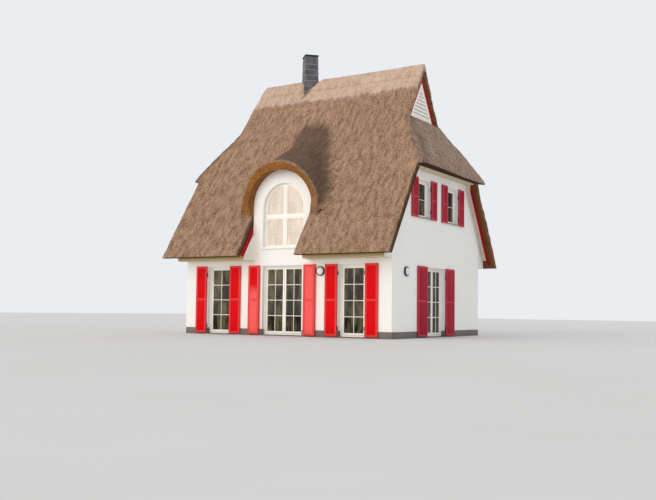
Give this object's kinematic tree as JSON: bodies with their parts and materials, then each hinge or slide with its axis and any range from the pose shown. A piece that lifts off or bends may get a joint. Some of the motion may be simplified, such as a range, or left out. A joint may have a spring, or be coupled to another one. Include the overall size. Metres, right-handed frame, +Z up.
{
  "type": "thatched cottage",
  "caption": "White rendered cottage under a steep thatched roof with half-hipped gables, an arched dormer window, red shutters and glazed doors that open.",
  "frame": {"origin": "middle of the footprint on the ground", "axes": "+Z up, -Y out of the long front with the dormer, +X out of the gable with the double door"},
  "size_m": [9.12, 8.7282, 10.2303],
  "materials": {
    "render": "rough lime render, painted off-white",
    "plinth": "smooth grey cement",
    "timber": "planed softwood boards",
    "thatch": "combed straw thatch, weathered brown-grey",
    "fresh_straw": "newer straw thatch, paler",
    "red_paint": "gloss red paint on timber",
    "white_paint": "satin white paint on timber",
    "slate": "hung slates in courses",
    "lead": "dull dark sheet",
    "glass": "clear window glass",
    "opal": "opal glass in a dark ring"
  },
  "bodies": {
    "house": {"arch_window": "white_paint", "back_glazing": "glass", "back_wall": "render", "back_window": "white_paint", "back_window_shutter_a": "red_paint", "back_window_shutter_b": "red_paint", "bargeboard_left_back": "red_paint", "bargeboard_left_front": "red_paint", "bargeboard_right_back": "red_paint", "bargeboard_right_front": "red_paint", "bay_board_left": "red_paint", "bay_board_right": "red_paint", "chimney_cap": "lead", "chimney_stack": "slate", "dormer_hood": "thatch", "front_lamp": "opal", "front_wall_left": "render", "front_wall_mid_left": "render", "front_wall_mid_right": "render", "front_wall_right": "render", "front_wall_upper": "render", "front_window": "white_paint", "front_window_shutter_a": "red_paint", "front_window_shutter_b": "red_paint", "gable_door_frame": "white_paint", "gable_lamp": "opal", "gablet_left": "white_paint", "gablet_right": "white_paint", "ground_floor": "plinth", "left_door_frame": "white_paint", "left_glazing_ground": "glass", "left_glazing_upper": "glass", "left_wall": "render", "middle_door_frame": "white_paint", "middle_door_shutter_left": "red_paint", "middle_door_shutter_right": "red_paint", "ridge_cap": "fresh_straw", "right_door_frame": "white_paint", "right_wall_back": "render", "right_wall_front": "render", "right_wall_upper": "render", "soffit_left": "white_paint", "soffit_right": "white_paint", "thatch_back": "thatch", "thatch_front": "thatch", "thatch_hip_left": "thatch", "thatch_hip_right": "thatch", "upper_floor": "timber"},
    "left_door": {"left_door_leaf": "white_paint"},
    "right_door": {"right_door_leaf": "white_paint"},
    "middle_door_left": {"middle_door_left_leaf": "white_paint"},
    "middle_door_right": {"middle_door_right_leaf": "white_paint"},
    "gable_door_front": {"gable_door_front_leaf": "white_paint"},
    "gable_door_back": {"gable_door_back_leaf": "white_paint"},
    "left_door_left_shutter": {"left_door_shutter_left": "red_paint"},
    "left_door_right_shutter": {"left_door_shutter_right": "red_paint"},
    "right_door_left_shutter": {"right_door_shutter_left": "red_paint"},
    "right_door_right_shutter": {"right_door_shutter_right": "red_paint"},
    "gable_door_front_shutter": {"gable_door_shutter_front": "red_paint"},
    "gable_door_back_shutter": {"gable_door_shutter_back": "red_paint"}
  },
  "joints": [
    {"name": "left_door_hinge", "type": "hinge", "parent": "house", "child": "left_door", "pos_m": [-3.0067, -3.198, 1.14], "axis": [0, 0, 1], "range_deg": [0, 90]},
    {"name": "right_door_hinge", "type": "hinge", "parent": "house", "child": "right_door", "pos_m": [3.0067, -3.198, 1.14], "axis": [0, 0, -1], "range_deg": [0, 90]},
    {"name": "middle_door_left_hinge", "type": "hinge", "parent": "house", "child": "middle_door_left", "pos_m": [-0.7267, -3.198, 1.14], "axis": [0, 0, 1], "range_deg": [0, 90]},
    {"name": "middle_door_right_hinge", "type": "hinge", "parent": "house", "child": "middle_door_right", "pos_m": [0.7267, -3.198, 1.14], "axis": [0, 0, -1], "range_deg": [0, 90]},
    {"name": "gable_door_front_hinge", "type": "hinge", "parent": "house", "child": "gable_door_front", "pos_m": [3.798, -0.9117, 1.14], "axis": [0, 0, 1], "range_deg": [0, 90]},
    {"name": "gable_door_back_hinge", "type": "hinge", "parent": "house", "child": "gable_door_back", "pos_m": [3.798, 0.3817, 1.14], "axis": [0, 0, -1], "range_deg": [0, 90]},
    {"name": "left_door_left_shutter_hinge", "type": "hinge", "parent": "house", "child": "left_door_left_shutter", "pos_m": [-3.075, -3.435, 1.14], "axis": [0, 0, 1], "range_deg": [0, 180]},
    {"name": "left_door_right_shutter_hinge", "type": "hinge", "parent": "house", "child": "left_door_right_shutter", "pos_m": [-2.125, -3.435, 1.14], "axis": [0, 0, -1], "range_deg": [0, 180]},
    {"name": "right_door_left_shutter_hinge", "type": "hinge", "parent": "house", "child": "right_door_left_shutter", "pos_m": [2.125, -3.435, 1.14], "axis": [0, 0, 1], "range_deg": [0, 180]},
    {"name": "right_door_right_shutter_hinge", "type": "hinge", "parent": "house", "child": "right_door_right_shutter", "pos_m": [3.075, -3.435, 1.14], "axis": [0, 0, -1], "range_deg": [0, 180]},
    {"name": "gable_door_front_shutter_hinge", "type": "hinge", "parent": "house", "child": "gable_door_front_shutter", "pos_m": [4.035, -0.98, 1.14], "axis": [0, 0, 1], "range_deg": [0, 180]},
    {"name": "gable_door_back_shutter_hinge", "type": "hinge", "parent": "house", "child": "gable_door_back_shutter", "pos_m": [4.035, 0.45, 1.14], "axis": [0, 0, -1], "range_deg": [0, 180]}
  ]
}
